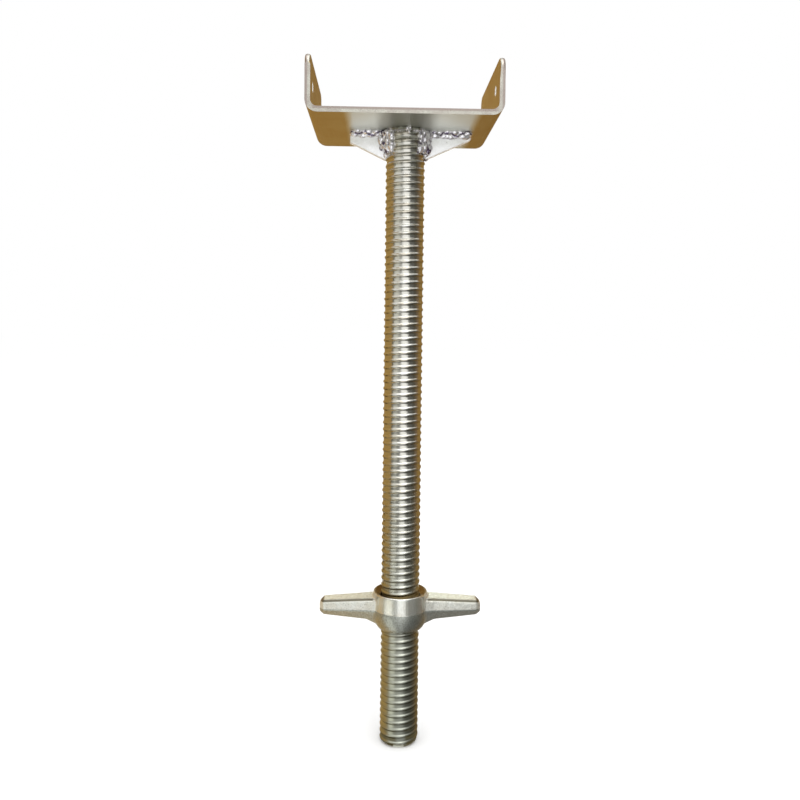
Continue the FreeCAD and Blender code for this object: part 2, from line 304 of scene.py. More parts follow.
def extrude(step):
    """Extrude what is selected."""
    bpy.ops.mesh.extrude_region_move(TRANSFORM_OT_translate={"value": step})


def start_point(name, place):
    """Start a piece as one point, in edit mode."""
    piece = start(bpy.ops.mesh.primitive_plane_add, name, size=1 * MM)
    edit(piece)
    bpy.ops.mesh.merge(type="CENTER")
    shift(place)
    return piece


def settle():
    """Put the selected objects' places into their meshes."""
    bpy.ops.object.transform_apply(location=True, rotation=True, scale=True)


def close_up():
    """Merge doubles and turn the normals outwards in edit mode."""
    bpy.ops.mesh.select_mode(type="VERT")
    bpy.ops.mesh.select_all(action="SELECT")
    bpy.ops.mesh.remove_doubles(threshold=DOUBLES)
    bpy.ops.mesh.normals_make_consistent(inside=False)


def finish_with(piece, kind, **settings):
    """Add a modifier to a piece and apply it."""
    activate(piece)
    bpy.ops.object.modifier_add(type=kind)
    modifier = piece.modifiers[-1]
    for name, value in settings.items():
        setattr(modifier, name, value)
    bpy.ops.object.modifier_apply(modifier=modifier.name)


def combine(piece, tool, operation):
    """Cut a piece with a tool, or keep what they share, and remove the tool."""
    finish_with(piece, "BOOLEAN", operation=operation, object=tool, solver="MANIFOLD")
    bpy.data.objects.remove(tool, do_unlink=True)


def smooth(piece, degrees):
    """Shade a piece smooth up to an angle."""
    activate(piece)
    bpy.ops.object.shade_smooth_by_angle(angle=math.radians(degrees))


def flatten(piece):
    """Keep a piece's large faces flat beside their rounded edges."""
    finish_with(piece, "WEIGHTED_NORMAL", keep_sharp=True)


def dress(piece, *finishes):
    """Give a piece its finishes and no others."""
    piece.data.materials.clear()
    for finish in finishes:
        piece.data.materials.append(finish)


def place_on(piece, body, slot, *nodes):
    """Let a piece ride on a body in place of its solids."""
    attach(piece, body)
    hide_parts(*nodes)


def feed(tree, value, socket):
    """Link an output to an input, or set the input to a number or a linear colour."""
    if isinstance(value, bpy.types.NodeSocket):
        tree.links.new(value, socket)
    elif isinstance(value, (int, float)):
        socket.default_value = value
    else:
        socket.default_value = (*value, 1)


def add_node(tree, kind, **inputs):
    """A shader node with the given input values."""
    made = tree.nodes.new(kind)
    for name, value in inputs.items():
        feed(tree, value, made.inputs[name])
    return made


def math_node(tree, operation, *values):
    """A Math node of numbers or outputs."""
    made = tree.nodes.new("ShaderNodeMath")
    made.operation = operation
    for value, socket in zip(values, made.inputs):
        feed(tree, value, socket)
    return made.outputs[0]


def plus(tree, first, second):
    """The sum of two values."""
    return math_node(tree, "ADD", first, second)


def minus(tree, first, second):
    """The difference of two values."""
    return math_node(tree, "SUBTRACT", first, second)


def times(tree, first, second):
    """The product of two values, or what two masks share."""
    return math_node(tree, "MULTIPLY", first, second)


def either(tree, first, second):
    """The stronger of two masks."""
    return math_node(tree, "MAXIMUM", first, second)


def off(tree, value, target=0.0):
    """How far a value lies from a target, on either side."""
    return math_node(tree, "ABSOLUTE", minus(tree, value, target))


def distance(tree, first, second):
    """The distance that two steps at right angles cover."""
    squares = [math_node(tree, "POWER", step, 2.0) for step in (first, second)]
    return math_node(tree, "SQRT", plus(tree, *squares))


def remap(tree, value, low, high, to_low=0.0, to_high=1.0):
    """A clamped Map Range node."""
    made = tree.nodes.new("ShaderNodeMapRange")
    limits = {"Value": value, "From Min": low, "From Max": high, "To Min": to_low, "To Max": to_high}
    for name, limit in limits.items():
        feed(tree, limit, made.inputs[name])
    return made.outputs["Result"]


def mix(tree, share, first, second, blend="MIX"):
    """A colour Mix node, whose colours are linear colours or outputs."""
    made = tree.nodes.new("ShaderNodeMix")
    made.data_type = "RGBA"
    made.blend_type = blend
    values = {"Factor_Float": share, "A_Color": first, "B_Color": second}
    for socket in made.inputs:
        if socket.identifier in values:
            feed(tree, values[socket.identifier], socket)
    return next(socket for socket in made.outputs if socket.identifier == "Result_Color")


def object_vector(tree):
    """The object coordinates."""
    return tree.nodes.new("ShaderNodeTexCoord").outputs["Object"]


def object_place(tree):
    """The x, y and z of the object coordinates."""
    split = tree.nodes.new("ShaderNodeSeparateXYZ")
    tree.links.new(object_vector(tree), split.inputs[0])
    return split.outputs["X"], split.outputs["Y"], split.outputs["Z"]


def radius_from_axis(tree):
    """The distance from the stem's axis."""
    return distance(tree, *object_place(tree)[:2])


def grains(tree, size, detail=3.0, roughness=0.6):
    """Noise whose grains have the given lengths along x, y and z."""
    mapping = tree.nodes.new("ShaderNodeMapping")
    mapping.inputs["Scale"].default_value = [1 / side for side in size]
    tree.links.new(object_vector(tree), mapping.inputs["Vector"])
    noise = add_node(tree, "ShaderNodeTexNoise", Scale=1.0, Detail=detail, Roughness=roughness)
    tree.links.new(mapping.outputs["Vector"], noise.inputs["Vector"])
    return noise.outputs["Fac"]


# How a finish wears its zinc: the share that is bare metal, the share of stain, the sizes of the stained
# patches and of the grain, the roughness of the brightest and the dullest grain, and the grain's depth
Film = namedtuple("Film", "bare stain patch grain gloss dull depth")
STEM_FILM = Film(1.0, 0.3, 14 * MM, 0.9 * MM, 0.13, 0.26, 0.05 * MM)
PLATE_FILM = Film(1.0, 0.6, 30 * MM, 1.2 * MM, 0.34, 0.42, 0.03 * MM)
CUT_FILM = Film(1.0, 0.4, 9 * MM, 0.6 * MM, 0.22, 0.38, 0.12 * MM)
BORE_FILM = Film(0.25, 0.2, 5 * MM, 0.6 * MM, 0.45, 0.6, 0.05 * MM)
GUSSET_FILM = Film(0.45, 0.3, 16 * MM, 0.8 * MM, 0.10, 0.18, 0.05 * MM)
WELD_FILM = Film(0.82, 0.25, 4.5 * MM, 0.9 * MM, 0.08, 0.18, 0.08 * MM)
NUT_FILM = Film(1.0, 0.15, 11 * MM, 1.1 * MM, 0.245, 0.26, 0.10 * MM)
# Range of the noise that the grain's shade and gloss follow, and the shade at its two ends
GRAIN_RANGE = (0.3, 0.7)
GRAIN_SHADE = (0.86, 1.08)
# Roughness that wear adds, that the welds get under their painted shadow round the stem, and that casting
# sand adds
WORN_DULL, SHADOW_DULL, SAND_DULL = 0.15, 0.3, 0.07
# Share of bare metal under the head's painted reflection and round the nail holes' painted highlight, on
# the nut's band and on its wings
PAINTED_ZONE_BARE, BAND_BARE, WING_BARE = 0.55, 0.92, 0.76
# Strength of the painted shade along the thread's lower flanks where the zinc is bright and where it is
# worn
BRIGHT_FLANK_SHADE, WORN_FLANK_SHADE = 0.5, 0.85
# Strength of the head's rolling streaks, of the specks on the gussets and of the grime in the nut's pits
STREAKS, SPECKS, PITS = 0.35, 0.7, 0.35


def zinc_film():
    """The group that every zinc finish uses: stained patches, fine grain and the grain's gloss."""
    tree = bpy.data.node_groups.get("zinc_film")
    if tree:
        return tree
    tree = bpy.data.node_groups.new("zinc_film", "ShaderNodeTree")
    for way, kind, names in (
        ("INPUT", "Color", ("Zinc", "Stain")),
        ("INPUT", "Float", ("Stain Share", "Patch Scale", "Grain Scale", "Gloss", "Dull")),
        ("OUTPUT", "Color", ("Colour",)),
        ("OUTPUT", "Float", ("Roughness", "Height")),
    ):
        for name in names:
            tree.interface.new_socket(name, in_out=way, socket_type=f"NodeSocket{kind}")
    given = tree.nodes.new("NodeGroupInput").outputs
    result = tree.nodes.new("NodeGroupOutput").inputs
    patches = add_node(tree, "ShaderNodeTexNoise", Scale=given["Patch Scale"], Detail=3.0, Roughness=0.55)
    grain = add_node(tree, "ShaderNodeTexNoise", Scale=given["Grain Scale"], Detail=5.0, Roughness=0.65)
    for noise in (patches, grain):
        tree.links.new(object_vector(tree), noise.inputs["Vector"])
    patch = remap(tree, patches.outputs["Fac"], 0.40, 0.62)
    stained = mix(tree, times(tree, patch, given["Stain Share"]), given["Zinc"], given["Stain"])
    shade = remap(tree, grain.outputs["Fac"], *GRAIN_RANGE, *GRAIN_SHADE)
    grey = add_node(tree, "ShaderNodeCombineColor", Red=shade, Green=shade, Blue=shade)
    gloss = remap(tree, grain.outputs["Fac"], *GRAIN_RANGE, given["Gloss"], given["Dull"])
    tree.links.new(mix(tree, 1.0, stained, grey.outputs["Color"], "MULTIPLY"), result["Colour"])
    tree.links.new(gloss, result["Roughness"])
    tree.links.new(grain.outputs["Fac"], result["Height"])
    return tree


def zinc(name, film, plain, stain):
    """A new zinc material: the material, its tree, its shader and what its film gives."""
    made = bpy.data.materials.new(name)
    made.use_nodes = True
    tree = made.node_tree
    shader = tree.nodes["Principled BSDF"]
    shader.inputs["Metallic"].default_value = film.bare
    group = tree.nodes.new("ShaderNodeGroup")
    group.node_tree = zinc_film()
    values = {
        "Zinc": plain,
        "Stain": stain,
        "Stain Share": film.stain,
        "Patch Scale": 1 / film.patch,
        "Grain Scale": 1 / film.grain,
        "Gloss": film.gloss,
        "Dull": film.dull,
    }
    for socket, value in values.items():
        feed(tree, value, group.inputs[socket])
    return made, tree, shader, group.outputs


def coat(tree, shader, shade, roughness, height, depth):
    """Feed a finish's colour, roughness and surface to its shader, with the surface's depth in metres."""
    surface = add_node(tree, "ShaderNodeBump", Strength=1.0, Distance=depth, Height=height)
    feed(tree, shade, shader.inputs["Base Color"])
    feed(tree, roughness, shader.inputs["Roughness"])
    feed(tree, surface.outputs["Normal"], shader.inputs["Normal"])


# Turns of the thread that are swept past each end and cut off
SPARE_TURNS = 2


def thread_start(sizes):
    """Height of the crest at which the thread's sweep starts."""
    return STEM_LOW.z - SPARE_TURNS * sizes.pitch


def painted_flank_shade(tree, sizes):
    """A broken line of painted shade along the thread's lower flank."""
    x, y, z = object_place(tree)
    turned = math_node(tree, "DIVIDE", math_node(tree, "ARCTAN2", y, x), 2 * math.pi)
    risen = math_node(tree, "DIVIDE", minus(tree, z, thread_start(sizes)), sizes.pitch)
    from_crest = math_node(tree, "FRACT", minus(tree, risen, turned))
    off_line = off(tree, from_crest, sizes.shade_turn)
    line = remap(tree, off_line, 0.65 * sizes.shade_width, 0.35 * sizes.shade_width)
    breaks = remap(tree, grains(tree, [4 * MM] * 3), 0.35, 0.6, 0.45, 1.0)
    return times(tree, line, breaks)


def stem_finish(finishes, sizes):
    """Bright rolled zinc with painted shade in the thread's hollows and a painted shade line along its
    lower flanks, dull at the end that goes into a tube.
    """
    made, tree, shader, film = zinc("stem_zinc", STEM_FILM, finishes.stem, finishes.plate_stain)
    hollow = CREST_RADIUS - sizes.depth
    # Painted shade in the thread's hollows, from the hollow towards the crest
    crest = remap(tree, radius_from_axis(tree), hollow, CREST_RADIUS - 0.25 * sizes.depth)
    rolled = mix(tree, crest, finishes.hollow, film["Colour"])
    worn = remap(tree, object_place(tree)[2], sizes.worn_high, sizes.worn_low)
    dulled = mix(tree, worn, rolled, finishes.worn)
    # Painted shade line along the thread's lower flanks
    strength = remap(tree, worn, 0.0, 0.5, BRIGHT_FLANK_SHADE, WORN_FLANK_SHADE)
    grime_and_shade = times(tree, painted_flank_shade(tree, sizes), strength)
    rough = plus(tree, film["Roughness"], times(tree, worn, WORN_DULL))
    coat(tree, shader, mix(tree, grime_and_shade, dulled, finishes.grime_and_shade), rough, film["Height"], STEM_FILM.depth)
    return made


def painted_hole_highlights(tree):
    """The edges round the legs' nail holes, where a pale highlight is painted."""
    holes = MOUNTS["left_nail_holes"]
    _, y, z = object_place(tree)
    along = minus(tree, off(tree, y), holes["dims"]["spacing_x_mm"] * MM / 2)
    above = minus(tree, z, holes["pos_m"][2])
    width, fade = 0.6 * MM, 0.4 * MM
    rim = holes["dims"]["hole_r_mm"] * MM + width
    return remap(tree, distance(tree, along, above), rim + fade, rim)


def painted_reflection_zone(tree):
    """The head's underside between the gussets' ends, where their reflection is painted."""
    soft, skin = 4 * MM, 1 * MM
    x, _, z = object_place(tree)
    left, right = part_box("gusset_left")[0].x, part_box("gusset_right")[1].x
    from_left = remap(tree, x, left - soft, left + soft)
    from_right = remap(tree, x, right + soft, right - soft)
    below = remap(tree, z, PLATE_LOW.z + 2 * skin, PLATE_LOW.z + skin)
    return times(tree, times(tree, from_left, from_right), below)


def plate_finish(finishes):
    """Satin zinc on the rolled sheet, with a warm tint, faint rolling streaks, a painted reflection of the
    gussets and the stem on the underside, and a pale painted highlight round the nail holes.
    """
    made, tree, shader, film = zinc("plate_zinc", PLATE_FILM, finishes.plate, finishes.plate_stain)
    drawn = grains(tree, (0.7 * MM, 30 * MM, 0.7 * MM))
    light = mix(tree, STREAKS, finishes.plate, finishes.plate_streak)
    streaked = mix(tree, remap(tree, drawn, 0.5, 0.75, 0.0, STREAKS), film["Colour"], light)
    from_stem = remap(tree, off(tree, object_place(tree)[0]), 0.7 * CREST_RADIUS, 1.6 * CREST_RADIUS)
    # Painted reflection under the head: grey where the gussets show in it, dark near the stem where the
    # stem shows in it
    heat = mix(tree, from_stem, finishes.stem_reflection_and_shadow, finishes.plate_gusset_reflection)
    reflection_zone, hole_highlights = painted_reflection_zone(tree), painted_hole_highlights(tree)
    # Pale painted highlight round the nail holes
    sheet = mix(tree, hole_highlights, mix(tree, reflection_zone, streaked, heat), finishes.gusset)
    bare = remap(tree, either(tree, reflection_zone, hole_highlights), 0.0, 1.0, PLATE_FILM.bare, PAINTED_ZONE_BARE)
    feed(tree, bare, shader.inputs["Metallic"])
    coat(tree, shader, sheet, film["Roughness"], plus(tree, film["Height"], drawn), PLATE_FILM.depth)
    return made


def cut_finish(finishes, sizes):
    """The sheared edges in two tones: darker along the outer strip of the legs' edges and the upper strip
    of the base's edges.
    """
    made, tree, shader, film = zinc("cut_zinc", CUT_FILM, finishes.cut, finishes.cut_dark)
    x, _, z = object_place(tree)
    from_middle = off(tree, x, (PLATE_LOW.x + PLATE_HIGH.x) / 2)
    half = (PLATE_HIGH.x - PLATE_LOW.x) / 2
    outer = remap(tree, from_middle, half - 0.55 * sizes.sheet, half - 0.40 * sizes.sheet)
    upper = remap(tree, z, PLATE_LOW.z + 0.50 * sizes.sheet, PLATE_LOW.z + 0.65 * sizes.sheet)
    between_legs = remap(tree, from_middle, half - sizes.sheet, half - 1.6 * sizes.sheet)
    dark_strip = either(tree, outer, times(tree, upper, between_legs))
    wavy = times(tree, dark_strip, remap(tree, film["Height"], 0.25, 0.6, 0.45, 1.0))
    edge = mix(tree, wavy, film["Colour"], finishes.cut_dark)
    coat(tree, shader, edge, film["Roughness"], film["Height"], CUT_FILM.depth)
    return made


def bore_finish(finishes):
    """The nail holes' walls: pale, matt zinc that paints a highlight into the holes."""
    made, tree, shader, film = zinc("bore_zinc", BORE_FILM, finishes.gusset, finishes.cut)
    coat(tree, shader, film["Colour"], film["Roughness"], film["Height"], BORE_FILM.depth)
    return made


def gusset_finish(finishes):
    """Bright satin zinc with a few dark specks."""
    made, tree, shader, film = zinc("gusset_zinc", GUSSET_FILM, finishes.gusset, finishes.cut)
    specks = grains(tree, [3.5 * MM] * 3, detail=2.0, roughness=0.5)
    specked = mix(tree, remap(tree, specks, 0.70, 0.76, 0.0, SPECKS), film["Colour"], finishes.grime_and_shade)
    coat(tree, shader, specked, film["Roughness"], film["Height"], GUSSET_FILM.depth)
    return made


def burnt_line(tree):
    """A dark line that wanders along the corner of a gusset and the head."""
    stray = 3 * MM
    wander = remap(tree, grains(tree, (9 * MM, 40 * MM, 40 * MM)), 0.3, 0.7, -stray, stray)
    below = minus(tree, PLATE_LOW.z - 2.6 * MM, object_place(tree)[2])
    line = remap(tree, off(tree, below, wander), 1.4 * MM, 0.5 * MM)
    breaks = remap(tree, grains(tree, [3 * MM] * 3), 0.38, 0.54, 0.2, 1.0)
    return times(tree, line, breaks)


def burnt_patches(tree):
    """Dark patches down the corner of a gusset and the stem."""
    return remap(tree, grains(tree, (3.4 * MM, 3.4 * MM, 6 * MM)), 0.54, 0.60)


def weld_finish(name, finishes, sizes, burns):
    """Bright weld metal with burns, and a painted shadow under the head round the stem, except on the drip.
    """
    made, tree, shader, film = zinc(name, WELD_FILM, finishes.weld, finishes.weld_burn)
    x, y, z = object_place(tree)
    burnt = mix(tree, burns(tree), film["Colour"], finishes.weld_burn)
    high = remap(tree, z, PLATE_LOW.z - 3.4 * MM, PLATE_LOW.z - 2.2 * MM)
    inner = remap(tree, off(tree, x), 0.85 * CREST_RADIUS, 0.65 * CREST_RADIUS)
    # Painted shadow under the head on the welds round the stem
    painted_shadow = times(tree, high, inner)
    near_drip = remap(tree, off(tree, x, sizes.drip_x), 1.4 * sizes.drip, 1.0 * sizes.drip)
    dripped = times(tree, near_drip, remap(tree, y, 0.0, -1 * MM))
    bead = mix(tree, dripped, mix(tree, painted_shadow, burnt, finishes.stem_reflection_and_shadow), finishes.weld)
    dull = times(tree, painted_shadow, minus(tree, 1.0, dripped))
    rough = plus(tree, film["Roughness"], times(tree, dull, SHADOW_DULL))
    coat(tree, shader, bead, rough, film["Height"], WELD_FILM.depth)
    return made


def seam_line(tree, sizes):
    """The mould seam that runs along both wings and drops towards their tips."""
    x, _, z = object_place(tree)
    reach = off(tree, x)
    rise = (sizes.tip_top - sizes.root_top) / (NUT_HIGH.x - sizes.root_x)
    root = NUT_LOW.z + sizes.root_top - sizes.seam_drop - rise * sizes.root_x
    level = plus(tree, times(tree, reach, rise), root)
    line = remap(tree, off(tree, z, level), 0.8 * sizes.seam_width, 0.5 * sizes.seam_width)
    return times(tree, line, remap(tree, reach, sizes.seam_x, sizes.seam_x + 3 * MM))


def nut_finish(finishes, sizes):
    """Zinc plated casting: a turned band, sandy faces darker below the band partly as painted shade, dirt
    in the pits, a darker mould seam, oily zinc and painted shade in the mouth, and a painted shadow round
    the lower edge.
    """
    made, tree, shader, film = zinc("nut_casting", NUT_FILM, finishes.nut, finishes.plate_stain)
    x, _, z = object_place(tree)
    foot, soft = NUT_LOW.z + sizes.band_foot, 0.4 * MM
    below_band = remap(tree, z, foot + soft, foot - soft)
    off_band = remap(tree, off(tree, x), sizes.blend_x + 1 * MM, sizes.blend_x + 3 * MM)
    sandy = either(tree, below_band, off_band)
    in_cone = remap(tree, radius_from_axis(tree), sizes.mouth + 0.9 * MM, sizes.mouth + 0.3 * MM)
    in_mouth = times(tree, in_cone, remap(tree, z, foot, foot + 1 * MM))
    between_grains = remap(tree, film["Height"], 0.60, 0.40, 0.0, 0.5)
    gritty = mix(tree, between_grains, finishes.nut_rough_and_shade, finishes.grime_and_shade)
    # Below the band the rough cast zinc is darker, partly as painted shade
    bowl = mix(tree, below_band, film["Colour"], gritty)
    # Oily zinc with painted shade in the mouth
    plain = mix(tree, in_mouth, bowl, finishes.nut_mouth_oil_and_shade)
    pits = grains(tree, [sizes.pit] * 3, roughness=0.7)
    grimy = times(tree, sandy, remap(tree, pits, 0.46, 0.32, 0.0, PITS))
    # Painted shadow round the nut's lower edge, where it meets the stem
    low_edge = remap(tree, z, NUT_LOW.z + 2.5 * MM, NUT_LOW.z + 0.5 * MM)
    painted_edge_shadow = times(tree, low_edge, remap(tree, pits, 0.56, 0.46))
    dark = either(tree, either(tree, grimy, seam_line(tree, sizes)), painted_edge_shadow)
    feed(tree, remap(tree, off_band, 0.0, 1.0, BAND_BARE, WING_BARE), shader.inputs["Metallic"])
    rough = plus(tree, film["Roughness"], times(tree, sandy, SAND_DULL))
    sand = times(tree, plus(tree, film["Height"], pits), sandy)
    coat(tree, shader, mix(tree, dark, plain, finishes.grime_and_shade), rough, sand, NUT_FILM.depth)
    return made


class JACK_OT_stem(Operator):
    """Sweep the thread along the stem and turn its ends"""

    bl_idname = "jack.stem"
    bl_label = "Threaded stem"

    def outline(self, sizes):
        """One pitch of the thread, from crest to crest, with a hollow between."""
        for place in range(sizes.points + 1):
            share = place / sizes.points
            from_crest = min(share, 1 - share) * sizes.pitch - sizes.crest / 2
            fallen = min(max(from_crest / sizes.flank, 0), 1)
            step = fallen * fallen * (3 - 2 * fallen)
            dish = math.sin(math.pi * share) ** 2
            sunk = (1 - sizes.dish) * step + sizes.dish * dish
            height = thread_start(sizes) + share * sizes.pitch
            yield Vector((CREST_RADIUS - sizes.depth * sunk, 0, height))

    def end_turning(self, sizes):
        """A bar a little wider than the stem, with the chamfer of the lower end."""
        spare = 0.5 * MM
        tall = STEM_HIGH.z - STEM_LOW.z + SPARE_TURNS * sizes.pitch
        bar = start(
            bpy.ops.mesh.primitive_cylinder_add,
            "end_turning",
            vertices=96,
            radius=CREST_RADIUS + spare,
            depth=tall,
            location=(0, 0, STEM_LOW.z + tall / 2),
        )
        settle()
        edit(bar)
        pick_edges(lambda place: near(place.z, STEM_LOW.z))
        bpy.ops.mesh.bevel(offset=sizes.chamfer + spare, segments=1, affect="EDGES")
        leave_edit()
        return bar

    def execute(self, context):
        sizes = context.scene.jack_stem
        corners = list(self.outline(sizes))
        stem = start_point("threaded_stem", corners[0])
        for lower, upper in zip(corners, corners[1:]):
            extrude(upper - lower)
        leave_edit()
        turns = math.ceil((STEM_HIGH.z - STEM_LOW.z) / sizes.pitch) + 2 * SPARE_TURNS
        finish_with(
            stem,
            "SCREW",
            axis="Z",
            angle=2 * math.pi,
            screw_offset=sizes.pitch,
            iterations=turns,
            steps=sizes.steps,
            render_steps=sizes.steps,
        )
        edit(stem)
        bpy.ops.mesh.remove_doubles(threshold=DOUBLES)
        bpy.ops.mesh.bisect(plane_co=STEM_HIGH, plane_no=(0, 0, 1), use_fill=True, clear_outer=True)
        bpy.ops.mesh.select_all(action="SELECT")
        below = (0, 0, STEM_LOW.z - 0.5 * sizes.pitch)
        bpy.ops.mesh.bisect(plane_co=below, plane_no=(0, 0, 1), use_fill=True, clear_inner=True)
        close_up()
        leave_edit()
        combine(stem, self.end_turning(sizes), "INTERSECT")
        smooth(stem, 50)
        dress(stem, stem_finish(context.scene.jack_finishes, sizes))
        place_on(stem, "jack", "stem_zinc", "stem")
        return {"FINISHED"}


class JACK_OT_head(Operator):
    """Fold the head from one sheet and drill its legs"""

    bl_idname = "jack.head"
    bl_label = "Folded head"

    def drill(self, head, finish):
        """The nail holes through both legs, where the mounts say."""
        holes = MOUNTS["left_nail_holes"]
        for side in FACES.values():
            bit = start(
                bpy.ops.mesh.primitive_cylinder_add,
                "drill_bit",
                vertices=40,
                radius=holes["dims"]["hole_r_mm"] * MM,
                depth=1.5 * (PLATE_HIGH.x - PLATE_LOW.x),
                location=(0, side * holes["dims"]["spacing_x_mm"] * MM / 2, holes["pos_m"][2]),
                rotation=(0, math.radians(90), 0),
            )
            dress(bit, finish)
            combine(head, bit, "DIFFERENCE")

    def round_tips(self, head, sizes):
        """Round the sheared edges over the legs' upper corners."""
        foot = PLATE_HIGH.z - 1.01 * sizes.corner
        sharp = math.radians(60)

        def on_tip(edge):
            return edge.calc_face_angle(0) > sharp and all(corner.co.z > foot for corner in edge.verts)

        edit(head)
        pick("EDGE", on_tip)
        bpy.ops.mesh.bevel(offset=sizes.tip, segments=4, affect="EDGES")
        leave_edit()

    def execute(self, context):
        sizes = context.scene.jack_head
        finishes = context.scene.jack_finishes
        middle = (PLATE_LOW + PLATE_HIGH) / 2
        span = PLATE_HIGH - PLATE_LOW
        outer = sizes.bend + sizes.sheet
        floor = (middle.x, middle.y, PLATE_LOW.z)
        head = start(bpy.ops.mesh.primitive_plane_add, "folded_head", size=1, location=floor)
        bpy.ops.transform.resize(value=(span.x - 2 * outer, span.y, 1))
        settle()
        edit(head)
        for side in SIDES.values():
            seam = middle.x + side * (span.x / 2 - outer)
            pick_edges(lambda place: near(place.x, seam))
            bpy.ops.mesh.spin(
                steps=sizes.bend_steps,
                angle=side * math.radians(90),
                center=(seam, 0, PLATE_LOW.z + outer),
                axis=(0, 1, 0),
            )
            pick_edges(lambda place: near(place.x, middle.x + side * span.x / 2))
            extrude((0, 0, span.z - outer))
        close_up()
        pick_corners(lambda place: near(place.z, PLATE_HIGH.z))
        bpy.ops.mesh.bevel(offset=sizes.corner, segments=8, affect="VERTICES")
        pick("FACE", lambda face: near(face.calc_center_median().z, PLATE_LOW.z))
        underside = [face for face in bmesh.from_edit_mesh(head.data).faces if face.select]
        if underside[0].normal.z > 0:
            bpy.ops.mesh.select_all(action="SELECT")
            bpy.ops.mesh.flip_normals()
        leave_edit()
        dress(head, plate_finish(finishes), cut_finish(finishes, sizes))
        finish_with(
            head, "SOLIDIFY", thickness=sizes.sheet, offset=-1, use_even_offset=True, material_offset_rim=1
        )
        self.drill(head, bore_finish(finishes))
        self.round_tips(head, sizes)
        finish_with(
            head, "BEVEL", width=sizes.edge, segments=3, limit_method="ANGLE", angle_limit=math.radians(40)
        )
        smooth(head, 32)
        flatten(head)
        place_on(head, "jack", "plate_zinc", "u_plate")
        return {"FINISHED"}


class JACK_OT_gussets(Operator):
    """Cut the two gussets between the stem and the head"""

    bl_idname = "jack.gussets"
    bl_label = "Gussets"

    def execute(self, context):
        sizes = context.scene.jack_gussets
        finish = gusset_finish(context.scene.jack_finishes)
        for name, side in SIDES.items():
            node = f"gusset_{name}"
            low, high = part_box(node)
            span = high - low
            middle = (low + high) / 2
            front = (middle.x, low.y, middle.z)
            gusset = start(
                bpy.ops.mesh.primitive_plane_add,
                f"{node}_plate",
                size=1,
                location=front,
                rotation=(math.radians(90), 0, 0),
            )
            settle()
            edit(gusset)
            bpy.ops.transform.resize(value=(span.x, 1, span.z), center_override=front)
            outer = low.x if side < 0 else high.x
            pick_corners(lambda place: near(place.x, outer) and near(place.z, low.z))
            edge = sizes.left_edge if side < 0 else sizes.right_edge
            shift((0, 0, span.z - edge))
            bpy.ops.mesh.select_all(action="SELECT")
            extrude((0, span.y, 0))
            close_up()
            leave_edit()
            finish_with(gusset, "BEVEL", width=sizes.edge, segments=3, limit_method="ANGLE")
            smooth(gusset, 35)
            flatten(gusset)
            dress(gusset, finish)
            place_on(gusset, "jack", "gusset_zinc", node)
        return {"FINISHED"}


# Rows of a plate bead: distance out from the gusset and down from the head, in lump radii
ROWS = ((0.25, 0.25), (-0.35, 1.2))
# Strands of a stem bead: degrees round from the gusset, distance off the stem and rise of the lower end
STRANDS = (
    (6, 0 * MM, 3 * MM),
    (9, 4.6 * MM, 10 * MM),
    (20, 2.8 * MM, 8 * MM),
    (31, 1.2 * MM, 6.5 * MM),
    (43, 0 * MM, 5.5 * MM),
)
# Stretch of the lumps along x, y and z
PLATE_STRETCH = (1.4, 1.0, 0.9)
STEM_STRETCH = (1.0, 1.0, 1.25)
RING_STRETCH = (1.0, 1.0, 1.0)
DRIP_STRETCH = (0.9, 0.9, 2.6)
# Share of its radius by which a lump strays from its place
STRAY = 0.25


